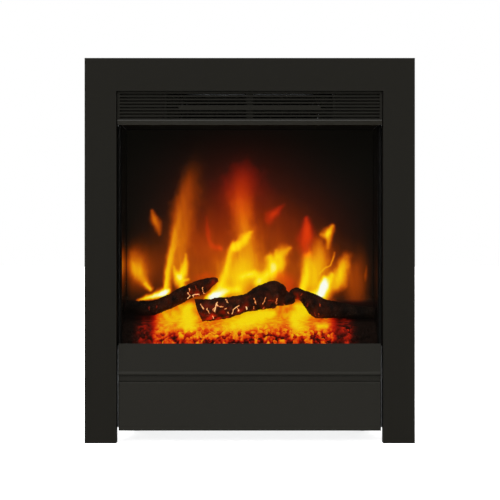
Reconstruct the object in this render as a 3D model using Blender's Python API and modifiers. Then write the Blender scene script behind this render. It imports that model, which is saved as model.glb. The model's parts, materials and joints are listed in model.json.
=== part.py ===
"""Inset electric fire: a sheet-metal trim and firebox round a log bed, a flame effect and a fan heater.

Metres, +Z up, front towards -Y. The origin is on the hearth, under the middle of the fire's box.
Sheets are given by the line through the middle of their thickness.
"""

from math import cos, exp, pi, radians, sin

import bmesh
import bpy
from mathutils import Matrix, Vector

mm = 0.001

# Trim, the outer frame seen from the room.
TRIM_WIDTH = 510 * mm
TRIM_HEIGHT = 595 * mm
DEPTH = 156 * mm
APERTURE_WIDTH = 412 * mm
TRIM_TOP_RAIL = 51 * mm
TRIM_SHEET = 1.5 * mm
TRIM_RETURN = 23 * mm
TRIM_INNER_RETURN = 18 * mm

# Firebox, the folded casing behind the trim.
SHEET = 1.2 * mm
BOX_WIDTH = 405 * mm
BOX_BOTTOM = 22 * mm
BOX_TOP = 556 * mm
FLANGE = 22 * mm
SLIDE_GAP = 0.4 * mm

# Heights of the front panels, from the hearth up.
LOWER_FRET_Z = (19 * mm, 94.9 * mm)
BAND_Z = (95.4 * mm, 105 * mm)
UPPER_FRET_TOP = 153.6 * mm
GLASS_Z = (146 * mm, 495 * mm)
RETAINER_Z = (491.7 * mm, 500.6 * mm)
GRILLE_Z = (501 * mm, 543.6 * mm)
GRILLE_PITCH = 5.08 * mm
GRILLE_SLOTS = 8
GRILLE_SLOT = 2.5 * mm
WIDE_BAR_ROW = 3

# Working axes, along X.
BLOWER_Y = 36 * mm
BLOWER_Z = 526 * mm
BLOWER_RADIUS = 18.5 * mm
SPINDLE_Y = 50 * mm
SPINDLE_Z = 152 * mm
SPINDLE_RADIUS = 14.5 * mm
SWITCH_X = (70 * mm, 105 * mm, 140 * mm)
SWITCH_Z = 62 * mm
ROCKER_TILT = 10
PANEL_Y = -49.4 * mm

FRONT = -DEPTH / 2
BACK = DEPTH / 2
TRIM_REAR = FRONT + TRIM_RETURN
APERTURE_TOP = TRIM_HEIGHT - TRIM_TOP_RAIL
HALF_TRIM = TRIM_WIDTH / 2
HALF_APERTURE = APERTURE_WIDTH / 2
HALF_BOX = BOX_WIDTH / 2
PAST = 2 * mm
WALL_FACE = HALF_BOX - SHEET
CHAMBER_HALF = WALL_FACE - 1.8 * mm

# Finish: colour, roughness, metallic, alpha.
FINISHES = {
    "black_coat": ((0.021, 0.020, 0.017), 0.55, 0.0, 1.0),
    "fret_coat": ((0.027, 0.026, 0.022), 0.50, 0.0, 1.0),
    "galvanised": ((0.48, 0.49, 0.50), 0.42, 1.0, 1.0),
    "dark_metal": ((0.012, 0.011, 0.010), 0.60, 0.3, 1.0),
    "glass": ((0.55, 0.57, 0.58), 0.03, 0.0, 0.30),
    "screen": ((0.75, 0.30, 0.10), 0.30, 0.0, 0.85),
    "ember": ((0.80, 0.16, 0.03), 0.45, 0.0, 1.0),
    "log": ((0.035, 0.018, 0.010), 0.90, 0.0, 1.0),
    "mirror": ((0.85, 0.85, 0.86), 0.08, 1.0, 1.0),
    "plastic": ((0.018, 0.018, 0.019), 0.45, 0.0, 1.0),
    "rocker": ((0.030, 0.030, 0.032), 0.25, 0.0, 1.0),
    "board": ((0.02, 0.14, 0.05), 0.45, 0.0, 1.0),
    "ceramic": ((0.78, 0.74, 0.66), 0.70, 0.0, 1.0),
    "steel": ((0.55, 0.55, 0.56), 0.30, 1.0, 1.0),
    "rubber": ((0.015, 0.015, 0.015), 0.85, 0.0, 1.0),
    "magnet": ((0.60, 0.61, 0.63), 0.25, 1.0, 1.0),
}


def clear_scene():
    for item in list(bpy.data.objects):
        bpy.data.objects.remove(item, do_unlink=True)
    for mesh in list(bpy.data.meshes):
        bpy.data.meshes.remove(mesh)


def new_collection(name):
    group = bpy.data.collections.new(name)
    bpy.context.scene.collection.children.link(group)
    return group


clear_scene()
FIRE = new_collection("electric_fireplace")
CUTTERS = new_collection("cutters")


def paint(item, finish):
    colour, roughness, metallic, alpha = FINISHES[finish]
    material = bpy.data.materials.new(item.name)
    material.use_nodes = True
    shader = material.node_tree.nodes["Principled BSDF"]
    shader.inputs["Base Color"].default_value = (*colour, 1.0)
    shader.inputs["Roughness"].default_value = roughness
    shader.inputs["Metallic"].default_value = metallic
    shader.inputs["Alpha"].default_value = alpha
    item.data.materials.append(material)


def place(name, data, finish=None, location=(0, 0, 0), rotation=(0, 0, 0)):
    """Adds data as a part when it has a finish, and as a cutter when it has none."""
    item = bpy.data.objects.new(name, data)
    item.location = location
    item.rotation_euler = rotation
    if finish is None:
        CUTTERS.objects.link(item)
        item.hide_render = True
        item.display_type = "WIRE"
    else:
        FIRE.objects.link(item)
        paint(item, finish)
    return item


def mesh_from(name, shape):
    mesh = bpy.data.meshes.new(name)
    shape.to_mesh(mesh)
    shape.free()
    return mesh


def block(name, x, y, z, finish=None, front_bevel=0.0, segments=2):
    """A box between the given pairs of faces, with its front edges rounded by front_bevel."""
    size = Vector((x[1] - x[0], y[1] - y[0], z[1] - z[0]))
    shape = bmesh.new()
    bmesh.ops.create_cube(shape, size=1.0)
    bmesh.ops.scale(shape, vec=size, verts=shape.verts)
    if front_bevel:
        front = [e for e in shape.edges if all(v.co.y < 0 for v in e.verts)]
        bmesh.ops.bevel(shape, geom=front, offset=front_bevel, segments=segments, profile=0.5, affect="EDGES")
    middle = ((x[0] + x[1]) / 2, (y[0] + y[1]) / 2, (z[0] + z[1]) / 2)
    return place(name, mesh_from(name, shape), finish, middle)


def rod(name, centre, radius, length, finish=None, sides=16):
    """A cylinder along X about centre."""
    shape = bmesh.new()
    bmesh.ops.create_cone(
        shape, cap_ends=True, segments=sides, radius1=radius, radius2=radius, depth=length
    )
    mesh = mesh_from(name, shape)
    item = place(name, mesh, finish, centre, (0, pi / 2, 0))
    if finish is not None:
        mesh.shade_smooth()
        mesh.set_sharp_from_angle(angle=radians(40))
    return item


def combine(item, other, operation):
    modifier = item.modifiers.new(f"{operation.lower()} {other.name}", "BOOLEAN")
    modifier.operation = operation
    modifier.solver = "EXACT"
    modifier.object = other
    return item


def cut(item, *others):
    for other in others:
        combine(item, other, "DIFFERENCE")
    return item


def join(item, *others):
    for other in others:
        combine(item, other, "UNION")
    return item


def thicken(item, thickness):
    modifier = item.modifiers.new("sheet", "SOLIDIFY")
    modifier.thickness = thickness
    modifier.offset = 0.0
    modifier.use_even_offset = True
    return item


def folded_sheet(name, line, axis, span, finish, thickness=SHEET):
    """A sheet bent along line and drawn out along axis. line is (y, z) for X, and (x, y) for Z."""
    shape = bmesh.new()
    previous = None
    for a, b in line:
        if axis == "X":
            ends = [Vector((s, a, b)) for s in span]
        else:
            ends = [Vector((a, b, s)) for s in span]
        current = [shape.verts.new(p) for p in ends]
        if previous:
            shape.faces.new((previous[0], previous[1], current[1], current[0]))
        previous = current
    item = place(name, mesh_from(name, shape), finish)
    return thicken(item, thickness)


def turned(name, profile, finish, location, rotation=(0, 0, 0), steps=24):
    """A turned solid. profile is (radius, height), from the top at the axis to the bottom at the axis."""
    shape = bmesh.new()
    points = [shape.verts.new((r, 0.0, h)) for r, h in profile]
    for upper, lower in zip(points, points[1:]):
        shape.edges.new((upper, lower))
    item = place(name, mesh_from(name, shape), finish, location, rotation)
    screw = item.modifiers.new("turn", "SCREW")
    screw.steps = steps
    screw.render_steps = steps
    screw.use_merge_vertices = True
    screw.merge_threshold = 0.01 * mm
    screw.use_smooth_shade = False
    return item


def outline_plate(name, points, y, thickness, finish=None):
    """A flat plate of outline (x, z), standing across Y with its middle at y."""
    curve = bpy.data.curves.new(name, "CURVE")
    curve.dimensions = "2D"
    curve.fill_mode = "BOTH"
    curve.extrude = thickness / 2
    spline = curve.splines.new("POLY")
    spline.points.add(len(points) - 1)
    for slot, (x, z) in zip(spline.points, points):
        slot.co = (x, z, 0.0, 1.0)
    spline.use_cyclic_u = True
    drawn = place(name, curve, None, (0, y, 0), (pi / 2, 0, 0))
    bpy.context.view_layer.update()
    mesh = bpy.data.meshes.new_from_object(drawn.evaluated_get(bpy.context.evaluated_depsgraph_get()))
    place_matrix = drawn.matrix_world.copy()
    bpy.data.objects.remove(drawn)
    shape = bmesh.new()
    shape.from_mesh(mesh)
    bmesh.ops.remove_doubles(shape, verts=shape.verts, dist=0.01 * mm)
    shape.to_mesh(mesh)
    shape.free()
    item = place(name, mesh, finish)
    item.matrix_world = place_matrix
    return item


def arc(centre, radius, start, end, steps):
    """Points round centre from start to end, in degrees."""
    turns = [radians(start + (end - start) * i / steps) for i in range(steps + 1)]
    return [(centre[0] + radius * cos(t), centre[1] + radius * sin(t)) for t in turns]


def build_trim():
    trim = block(
        "trim_frame",
        (-HALF_TRIM, HALF_TRIM),
        (FRONT, TRIM_REAR),
        (0, TRIM_HEIGHT),
        "black_coat",
        front_bevel=1.0 * mm,
    )
    inside = (FRONT + TRIM_SHEET, TRIM_REAR + PAST)
    outer_x = HALF_TRIM - TRIM_SHEET
    inner_x = HALF_APERTURE + TRIM_SHEET
    height = (TRIM_SHEET, TRIM_HEIGHT - TRIM_SHEET)
    cut(
        trim,
        block("trim_hollow_left", (-outer_x, -inner_x), inside, height),
        block("trim_hollow_right", (inner_x, outer_x), inside, height),
        block("trim_hollow_top", (-outer_x, outer_x), inside, (APERTURE_TOP + TRIM_SHEET, height[1])),
        block(
            "trim_aperture",
            (-HALF_APERTURE, HALF_APERTURE),
            (FRONT - PAST, TRIM_REAR + PAST),
            (-PAST, APERTURE_TOP),
        ),
        block(
            "trim_return_relief",
            (-inner_x - PAST, inner_x + PAST),
            (FRONT + TRIM_INNER_RETURN, TRIM_REAR + PAST),
            (-PAST, APERTURE_TOP + TRIM_SHEET + PAST),
        ),
    )
    for side, name in ((-1, "trim_clip_left"), (1, "trim_clip_right")):
        line = [
            (side * 224 * mm, FRONT + 2.4 * mm),
            (side * 212 * mm, FRONT + 2.4 * mm),
            (side * 212 * mm, TRIM_REAR - 2.4 * mm),
            (side * 220 * mm, TRIM_REAR - 2.4 * mm),
        ]
        folded_sheet(name, line, "Z", (280 * mm, 340 * mm), "galvanised")


def build_casing():
    wall = HALF_BOX - SHEET / 2
    flange_y = TRIM_REAR - SHEET / 2
    rear_y = BACK - 2.6 * mm
    panels = {}
    for side, name in ((-1, "side_panel_left"), (1, "side_panel_right")):
        line = [
            (side * (HALF_BOX + FLANGE), flange_y),
            (side * wall, flange_y),
            (side * wall, rear_y),
            (side * (HALF_BOX - 12 * mm), rear_y),
        ]
        panels[side] = folded_sheet(name, line, "Z", (BOX_BOTTOM, BOX_TOP), "galvanised")
    cut(panels[1], rod("gland_hole", (HALF_BOX, 45 * mm, 45 * mm), 8 * mm, 10 * mm, sides=24))

    across = (-HALF_BOX + SHEET + SLIDE_GAP, HALF_BOX - SHEET - SLIDE_GAP)
    roof = BOX_TOP - SHEET / 2
    fold_y = BACK - 4.1 * mm
    line = [(flange_y, roof + 20 * mm), (flange_y, roof), (fold_y, roof), (fold_y, roof - 12 * mm)]
    folded_sheet("top_panel", line, "X", across, "galvanised")

    floor = BOX_BOTTOM + SHEET / 2
    front_fold = PANEL_Y + 1.5 * mm
    line = [(front_fold, floor + 12 * mm), (front_fold, floor), (fold_y, floor), (fold_y, floor + 12 * mm)]
    folded_sheet("base_panel", line, "X", across, "galvanised")

    back = block(
        "back_panel",
        (across[0] + mm, across[1] - mm),
        (BACK - SHEET, BACK),
        (BOX_BOTTOM + mm, BOX_TOP - mm),
        "galvanised",
    )
    for row in range(5):
        z = BLOWER_Z - 16 * mm + row * 8 * mm
        for side in (-1, 1):
            x = sorted((side * 8 * mm, side * 96 * mm))
            cut(back, block(f"back_vent_{row}_{side}", x, (BACK - 4 * mm, BACK + PAST), (z, z + 4 * mm)))

    for side, name in ((-1, "rear_foot_left"), (1, "rear_foot_right")):
        top = BOX_BOTTOM - 0.3 * mm
        profile = [(0, top), (10 * mm, top), (10 * mm, 16 * mm), (8 * mm, 1.5 * mm), (7 * mm, 0), (0, 0)]
        turned(name, profile, "rubber", (side * 186 * mm, 62 * mm, 0))


def build_grille():
    half = HALF_APERTURE - 1 * mm
    bars = (FRONT + 4 * mm, FRONT + 10 * mm)
    grille = block("outlet_grille", (-half, half), bars, GRILLE_Z, "black_coat")
    shallow = (bars[0] - PAST, bars[0] + PAST)
    through = (bars[0] - PAST, bars[1] + PAST)
    for row in range(GRILLE_SLOTS):
        z = GRILLE_Z[0] + 1.15 * mm + row * GRILLE_PITCH
        if row == WIDE_BAR_ROW:
            gaps = ((-201, -110), (110, 201))
            slots = ((-201, -132), (-129, -110), (110, 129), (132, 201))
        else:
            gaps = ((-201, 201),)
            slots = ((-201, -132), (-129, -5), (5, 129), (132, 201))
        for depth, spans in ((shallow, gaps), (through, slots)):
            for left, right in spans:
                name = f"grille_slot_{row}_{left}_{right}"
                cut(grille, block(name, (left * mm, right * mm), depth, (z, z + GRILLE_SLOT)))
    for side, name in ((-1, "blanking_plate_left"), (1, "blanking_plate_right")):
        x = sorted((side * 131 * mm, side * 203 * mm))
        block(name, x, (bars[1] + 0.6 * mm, bars[1] + 1.8 * mm), GRILLE_Z, "black_coat")


def build_glass():
    half = HALF_APERTURE - 1.5 * mm
    glass_y = (FRONT + 10 * mm, FRONT + 14 * mm)
    block("front_glass", (-half, half), glass_y, GLASS_Z, "glass")

    face = FRONT + 3 * mm + SHEET / 2
    top = RETAINER_Z[1] - SHEET / 2
    nose = 1.6 * mm
    line = [(face, RETAINER_Z[0]), *arc((face + nose, top - nose), nose, 180, 90, 4), (FRONT + 16 * mm, top)]
    folded_sheet("glass_retainer", line, "X", (-half, half), "fret_coat")

    shelf = GLASS_Z[0] - 0.5 * mm - SHEET / 2
    rear = TRIM_REAR - 2.6 * mm
    line = [(glass_y[0] - 2 * mm, shelf), (rear, shelf), (rear, shelf - 20 * mm)]
    folded_sheet("glass_shelf", line, "X", (-half + mm, half - mm), "black_coat")

    behind = (glass_y[1] + 0.3 * mm, TRIM_REAR - 1.6 * mm)
    for side, name in ((-1, "glass_support_left"), (1, "glass_support_right")):
        x = sorted((side * (WALL_FACE + 0.1 * mm), side * (HALF_BOX + 1.2 * mm)))
        block(name, x, behind, (GLASS_Z[0] + mm, GLASS_Z[1] - mm), "dark_metal")


def build_frets():
    half = HALF_APERTURE - 3 * mm
    face = FRONT + 4 * mm + SHEET / 2
    band = face + 2.4 * mm
    roll = 2 * mm
    low, middle = BAND_Z[0] + SHEET / 2, BAND_Z[1]
    line = [
        (band, UPPER_FRET_TOP - SHEET / 2),
        (face, UPPER_FRET_TOP - SHEET / 2),
        (face, middle + 2.7 * roll),
        *arc((face + 0.2 * roll, middle + roll), roll, 150, 270, 5),
        (band, middle),
        (band, low),
        (face + 13 * mm, low),
    ]
    folded_sheet("upper_fret", line, "X", (-half, half), "fret_coat")

    front, rear = FRONT + 3 * mm, FRONT + 15 * mm
    fret = block("lower_fret", (-half, half), (front, rear), LOWER_FRET_Z, "fret_coat", 2 * mm, 3)
    hollow = block(
        "lower_fret_hollow",
        (-half + SHEET, half - SHEET),
        (front + SHEET, rear + PAST),
        (LOWER_FRET_Z[0] + SHEET, LOWER_FRET_Z[1] - SHEET),
    )
    cut(fret, hollow)
    top = LOWER_FRET_Z[1] - SHEET - 0.6 * mm
    for side, name in ((-1, "fret_magnet_left"), (1, "fret_magnet_right")):
        x = sorted((side * 170 * mm, side * 190 * mm))
        block(name, x, (rear - 3 * mm, PANEL_Y - mm), (top - 10 * mm, top), "magnet")


def ember_height(x, y):
    """Top of the ember bed: steep behind the glass, level under the logs, and steep again behind them."""
    front = 37 * mm * (1 - exp(-(y + 55 * mm) / (14 * mm)))
    behind = 37 * mm / (1 + exp(-(y - 10 * mm) / (1.6 * mm)))
    lumps = 0.6 * mm * sin(x / (9 * mm)) + 0.4 * mm * cos(x / (5 * mm) + y / (7 * mm))
    return 150 * mm + front + behind + lumps


def build_ember_bed():
    left, right = -CHAMBER_HALF, CHAMBER_HALF
    rows = (-55, -49, -43, -37, -29, -19, -9, 0, 5, 7.5, 9, 10, 11, 12.5, 15)
    columns = 24
    shape = bmesh.new()
    bmesh.ops.create_grid(shape, x_segments=columns, y_segments=len(rows) - 1, size=0.5)
    for vert in shape.verts:
        row = round((vert.co.y + 0.5) * (len(rows) - 1))
        vert.co.x = left + (vert.co.x + 0.5) * (right - left)
        vert.co.y = rows[row] * mm
        vert.co.z = ember_height(vert.co.x, vert.co.y)
    bed = place("ember_bed", mesh_from("ember_bed", shape), "ember")
    thicken(bed, 2 * mm)


def build_log(name, stations):
    """A branch through stations of (x, y, z, radius), in millimetres."""
    curve = bpy.data.curves.new(name, "CURVE")
    curve.dimensions = "3D"
    curve.bevel_depth = mm
    curve.bevel_resolution = 3
    curve.use_fill_caps = True
    spline = curve.splines.new("POLY")
    spline.points.add(len(stations) - 1)
    for slot, (x, y, z, radius) in zip(spline.points, stations):
        slot.co = (x * mm, y * mm, z * mm, 1.0)
        slot.radius = radius
    return place(name, curve, "log")


def build_logs():
    build_log(
        "log_left",
        [
            (-198, -6, 208, 10.5),
            (-176, -6, 205.5, 12),
            (-155, -6, 206.5, 12),
            (-132, -6, 214.5, 11.5),
            (-105, -6, 228, 12),
            (-88, -6, 236, 12),
            (-74, -6, 241, 12),
            (-63, -6, 246.5, 8.5),
            (-55, -6, 250, 5.5),
            (-51, -6, 251, 3.5),
        ],
    )
    build_log(
        "log_centre",
        [
            (-82, -29, 203, 18),
            (-60, -29, 204, 17.5),
            (-38, -29, 207, 16.5),
            (-18, -29, 211.5, 15.5),
            (2, -29, 216.5, 15),
            (14, -29, 221.5, 17.5),
            (26, -29, 225.5, 20),
            (38, -29, 228, 21),
            (47, -29, 226.5, 19),
            (54, -30, 223.5, 13),
            (61, -30, 222, 10),
            (70, -30, 224, 8),
        ],
    )
    build_log(
        "log_right",
        [
            (66, -8, 224.5, 7.5),
            (74, -8, 229, 10.5),
            (82, -8, 226.5, 9.5),
            (90, -9, 222, 11),
            (99, -11, 214.5, 14.5),
            (110, -12, 206.5, 16.5),
            (125, -12, 204, 15),
            (145, -12, 201.5, 13),
            (168, -12, 199.5, 11),
            (198, -12, 197.5, 9),
        ],
    )


def build_chamber():
    """The black room behind the glass."""
    base = 110.6 * mm
    front_fold = TRIM_REAR - 1 * mm
    across = (-HALF_BOX + 2.5 * mm, HALF_BOX - 2.5 * mm)
    line = [(front_fold, base - 8 * mm), (front_fold, base), (72.5 * mm, base)]
    folded_sheet("chamber_shelf", line, "X", across, "black_coat")

    ceiling = 494.6 * mm
    line = [(-57 * mm, ceiling), (72.5 * mm, ceiling), (72.5 * mm, ceiling + 10 * mm)]
    folded_sheet("chamber_ceiling", line, "X", across, "black_coat")

    inner = (112 * mm, 493 * mm)
    for side, name in ((-1, "chamber_liner_left"), (1, "chamber_liner_right")):
        x = sorted((side * (CHAMBER_HALF + 0.4 * mm), side * (CHAMBER_HALF + 1.4 * mm)))
        block(name, x, (-56 * mm, 66 * mm), inner, "dark_metal")

    across = (-CHAMBER_HALF, CHAMBER_HALF)
    block("flame_screen", across, (18 * mm, 21 * mm), inner, "screen")
    block("rear_reflector", across, (68 * mm, 68.8 * mm), inner, "mirror")


def flame_outline(x, base, height, width, lean):
    """A tongue of flame: broad and round below, and drawn out to a leaning tip."""
    steps = 6
    left, right = [], []
    for i in range(steps):
        t = i / steps
        half = width / 2 * (1 - t) ** 0.8 * (0.55 + 0.45 * sin(pi * min(1.0, t + 0.25)))
        middle = x + lean * t * t
        left.append((middle - half, base + height * t))
        right.append((middle + half, base + height * t))
    tip = (x + lean, base + height)
    return [*right, tip, *reversed(left)]


def build_flame_drive():
    """The slotted plate, and the finned spindle that makes light flicker through it."""
    across = (-CHAMBER_HALF, CHAMBER_HALF)
    plate = block("flame_cutout", across, (28 * mm, 29 * mm), (112 * mm, 493 * mm), "dark_metal")
    tongues = (
        (-140, 150, 44, 10),
        (-84, 190, 50, 26),
        (-26, 230, 56, 20),
        (34, 250, 54, -14),
        (92, 170, 46, 22),
        (146, 130, 40, 16),
    )
    for number, (x, height, width, lean) in enumerate(tongues):
        points = flame_outline(x * mm, 190 * mm, height * mm, width * mm, lean * mm)
        cut(plate, outline_plate(f"flame_slot_{number}", points, 28.5 * mm, 6 * mm))

    centre = (0, SPINDLE_Y, SPINDLE_Z)
    spindle = rod("flame_spindle", (-3 * mm, SPINDLE_Y, SPINDLE_Z), 2.5 * mm, 338 * mm, "mirror", sides=12)
    fins = 9
    pitch = 35 * mm
    for number in range(fins):
        x = (number - (fins - 1) / 2) * pitch
        half_fin = 13 * mm
        fin = block(
            f"spindle_fin_{number}",
            (-half_fin, half_fin),
            (-SPINDLE_RADIUS, SPINDLE_RADIUS),
            (-0.4 * mm, 0.4 * mm),
        )
        fin.location = Vector(centre) + Vector((x, 0, 0))
        fin.rotation_euler = (radians(50 * number), 0, 0)
        join(spindle, fin)

    bush = block("spindle_bush", (-181 * mm, -165 * mm), (43 * mm, 57 * mm), (145 * mm, 159 * mm), "plastic")
    cut(bush, rod("spindle_bush_bore", (-165 * mm, SPINDLE_Y, SPINDLE_Z), 3.2 * mm, 18 * mm))
    motor_profile = [
        (0, 24 * mm),
        (13 * mm, 24 * mm),
        (15 * mm, 22 * mm),
        (15 * mm, 2 * mm),
        (13 * mm, 0),
        (0, 0),
    ]
    motor = turned("spindle_motor", motor_profile, "steel", (160 * mm, SPINDLE_Y, SPINDLE_Z), (0, pi / 2, 0))
    cut(motor, rod("spindle_motor_bore", (160 * mm, SPINDLE_Y, SPINDLE_Z), 3.2 * mm, 16 * mm))

    for name, y in (("ember_led_board", (-40 * mm, -20 * mm)), ("flame_led_board", (40 * mm, 60 * mm))):
        board = block(name, (-150 * mm, 150 * mm), y, (113 * mm, 114.6 * mm), "board")
        middle = (y[0] + y[1]) / 2
        for number in range(9):
            x = (number - 4) * 34 * mm
            lamp = block(
                f"{name}_lamp_{number}",
                (x - 2.5 * mm, x + 2.5 * mm),
                (middle - 2.5 * mm, middle + 2.5 * mm),
                (114 * mm, 116.2 * mm),
            )
            join(board, lamp)


def many_blocks(name, boxes):
    """One cutter mesh of separate boxes, each a matrix on a unit cube."""
    shape = bmesh.new()
    for matrix in boxes:
        bmesh.ops.create_cube(shape, size=1.0, matrix=matrix)
    return place(name, mesh_from(name, shape))


def build_blower():
    centre = (BLOWER_Y, BLOWER_Z)
    inner = 103.6 * mm
    scroll_radius = BLOWER_RADIUS + 3.1 * mm
    line = [(-60 * mm, 503.6 * mm), (15 * mm, 503.6 * mm), *arc(centre, scroll_radius, -110, 25, 9)]
    folded_sheet("blower_scroll", line, "X", (-inner, inner), "galvanised", mm)
    line = [(-60 * mm, 536 * mm), (10 * mm, 536 * mm), (10 * mm, 546 * mm)]
    folded_sheet("duct_cover", line, "X", (-inner, inner), "galvanised", mm)

    for side, name in ((-1, "blower_cheek_left"), (1, "blower_cheek_right")):
        x = sorted((side * 104 * mm, side * 105.2 * mm))
        cheek = block(name, x, (-60 * mm, 62 * mm), (500 * mm, 549 * mm), "galvanised")
        hole = rod(f"{name}_hole", (side * 104.6 * mm, *centre), 4 * mm, 8 * mm)
        cut(cheek, hole)

    wheel = rod("blower_wheel", (mm, *centre), 3 * mm, 234 * mm, "steel", sides=12)
    for number in (-1, 0, 1):
        disc = rod(f"wheel_disc_{number}", (number * 98 * mm, *centre), BLOWER_RADIUS, 1.6 * mm, sides=18)
        join(wheel, disc)
    blades = 18
    boxes = []
    for number in range(blades):
        turn = Matrix.Rotation(2 * pi * (number + 0.5) / blades, 4, "X")
        chord = Matrix.Translation((0, 15.2 * mm, 0)) @ Matrix.Rotation(radians(35), 4, "X")
        size = Matrix.Diagonal((196.8 * mm, 5 * mm, 0.8 * mm, 1))
        boxes.append(turn @ chord @ size)
    blade_set = many_blocks("wheel_blades", boxes)
    blade_set.location = (0, *centre)
    join(wheel, blade_set)

    bearing = block(
        "blower_bearing", (-119 * mm, -106 * mm), (30 * mm, 42 * mm), (520 * mm, 532 * mm), "plastic"
    )
    cut(bearing, rod("blower_bearing_bore", (-106 * mm, *centre), 3.5 * mm, 22.6 * mm))
    motor = block("blower_motor", (107 * mm, 133 * mm), (16 * mm, 56 * mm), (506 * mm, 546 * mm), "steel")
    coil = block("motor_coil", (111 * mm, 129 * mm), (50 * mm, 68 * mm), (511 * mm, 541 * mm))
    join(motor, coil)
    cut(motor, rod("blower_motor_bore", (107 * mm, *centre), 3.5 * mm, 24 * mm))


def build_heater():
    build_blower()
    element = block(
        "heating_element", (-98 * mm, 98 * mm), (-38 * mm, -18 * mm), (508 * mm, 531 * mm), "ceramic"
    )
    windows = 13
    for number in range(windows):
        x = (number - (windows - 1) / 2) * 14.5 * mm
        window = block(
            f"element_window_{number}",
            (x - 5 * mm, x + 5 * mm),
            (-40 * mm, -16 * mm),
            (510.5 * mm, 528.5 * mm),
        )
        cut(element, window)
    cap = [(0, 7 * mm), (5 * mm, 7 * mm), (5 * mm, 3 * mm), (8 * mm, 3 * mm), (8 * mm, 0), (0, 0)]
    turned("thermal_cutout", cap, "ceramic", (60 * mm, -30 * mm, 536.9 * mm), steps=16)

    strip, tab = 108 * mm, 131 * mm
    low, high = 511 * mm, 521 * mm
    tab_low, tab_high = 502 * mm, 538 * mm
    right = [
        (strip, low),
        (strip, tab_low),
        (tab, tab_low),
        (tab, tab_high),
        (strip, tab_high),
        (strip, high),
    ]
    left = [(-x, z) for x, z in reversed(right)]
    outline_plate("outlet_deflector", [*right, *left], -62 * mm, SHEET, "galvanised")


def build_switch(number, rocker_name):
    x, z = SWITCH_X[number], SWITCH_Z
    face = PANEL_Y - SHEET / 2 - 0.3 * mm
    body = block(
        f"switch_body_{number + 1}",
        (x - 6.3 * mm, x + 6.3 * mm),
        (face - mm, face + 24 * mm),
        (z - 13.6 * mm, z + 13.6 * mm),
        "plastic",
    )
    bezel = block(
        f"switch_bezel_{number + 1}",
        (x - 7.6 * mm, x + 7.6 * mm),
        (face - 2 * mm, face),
        (z - 15.6 * mm, z + 15.6 * mm),
    )
    well = block(
        f"switch_well_{number + 1}",
        (x - 5.2 * mm, x + 5.2 * mm),
        (face - 6 * mm, face + 9 * mm),
        (z - 12.7 * mm, z + 12.7 * mm),
    )
    join(body, bezel)
    cut(body, well)

    pivot_y = face + 1.8 * mm
    shape = bmesh.new()
    outline = [(-4.5, 11.2), (-3.0, 0), (-4.5, -11.2), (-0.5, -10.6), (5, -4), (5, 4), (-0.5, 10.6)]
    near, far = [
        [shape.verts.new((s * 4.7 * mm, y * mm, h * mm)) for y, h in outline] for s in (-1, 1)
    ]
    first = shape.faces.new(near)
    shape.faces.new(list(reversed(far)))
    for i in range(len(outline)):
        j = (i + 1) % len(outline)
        shape.faces.new((near[j], near[i], far[i], far[j]))
    bmesh.ops.recalc_face_normals(shape, faces=shape.faces)
    bmesh.ops.bevel(
        shape, geom=list(first.edges), offset=0.6 * mm, segments=1, profile=0.5, affect="EDGES"
    )
    tilt = (radians(ROCKER_TILT), 0, 0)
    place(rocker_name, mesh_from(rocker_name, shape), "rocker", (x, pivot_y, z), tilt)


def build_controls():
    panel = block(
        "control_panel",
        (-HALF_BOX + 4 * mm, HALF_BOX - 4 * mm),
        (PANEL_Y - SHEET / 2, PANEL_Y + SHEET / 2),
        (24.5 * mm, 108 * mm),
        "black_coat",
    )
    for number, rocker_name in enumerate(("rocker_power", "rocker_low_heat", "rocker_high_heat")):
        x = SWITCH_X[number]
        window = block(
            f"switch_window_{number}",
            (x - 6.7 * mm, x + 6.7 * mm),
            (PANEL_Y - PAST, PANEL_Y + PAST),
            (SWITCH_Z - 14 * mm, SWITCH_Z + 14 * mm),
        )
        cut(panel, window)
        build_switch(number, rocker_name)

    board = block("control_board", (-70 * mm, 60 * mm), (-20 * mm, 50 * mm), (32 * mm, 33.6 * mm), "board")
    devices = (
        ("board_transformer", (-60, -26), (8, 38), 26),
        ("board_relay_1", (-12, 4), (16, 38), 16),
        ("board_relay_2", (14, 30), (16, 38), 16),
        ("board_chip", (-14, 6), (-10, 4), 4),
    )
    for name, x, y, height in devices:
        device = block(
            name,
            (x[0] * mm, x[1] * mm),
            (y[0] * mm, y[1] * mm),
            (33 * mm, 33.6 * mm + height * mm),
        )
        join(board, device)
    block(
        "led_driver",
        (-166 * mm, -96 * mm),
        (-10 * mm, 30 * mm),
        (24 * mm, 50 * mm),
        "plastic",
        front_bevel=2 * mm,
    )
    terminals = block(
        "terminal_block", (120 * mm, 162 * mm), (36 * mm, 54 * mm), (24 * mm, 42 * mm), "plastic"
    )
    for number in range(3):
        x = (131 + 10 * number) * mm
        well = block(
            f"terminal_well_{number}", (x - 3 * mm, x + 3 * mm), (40 * mm, 50 * mm), (32 * mm, 44 * mm)
        )
        cut(terminals, well)
    gland = [
        (0, 24 * mm),
        (6 * mm, 24 * mm),
        (9.5 * mm, 21 * mm),
        (9.5 * mm, 15 * mm),
        (12 * mm, 15 * mm),
        (12 * mm, 10.4 * mm),
        (7.4 * mm, 10.4 * mm),
        (7.4 * mm, 0),
        (0, 0),
    ]
    turned("cable_gland", gland, "plastic", (HALF_BOX - 10 * mm, 45 * mm, 45 * mm), (0, pi / 2, 0), steps=18)


build_trim()
build_casing()
build_grille()
build_glass()
build_frets()
build_chamber()
build_ember_bed()
build_logs()
build_flame_drive()
build_heater()
build_controls()
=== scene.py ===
"""Looks for the inset electric fire: finishes, flames, embers, charred logs and fine sheet-metal work."""

import json
from math import cos, exp, pi, radians, sin

import bmesh
import bpy
import numpy as np
from mathutils import Matrix, Vector, noise


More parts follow.
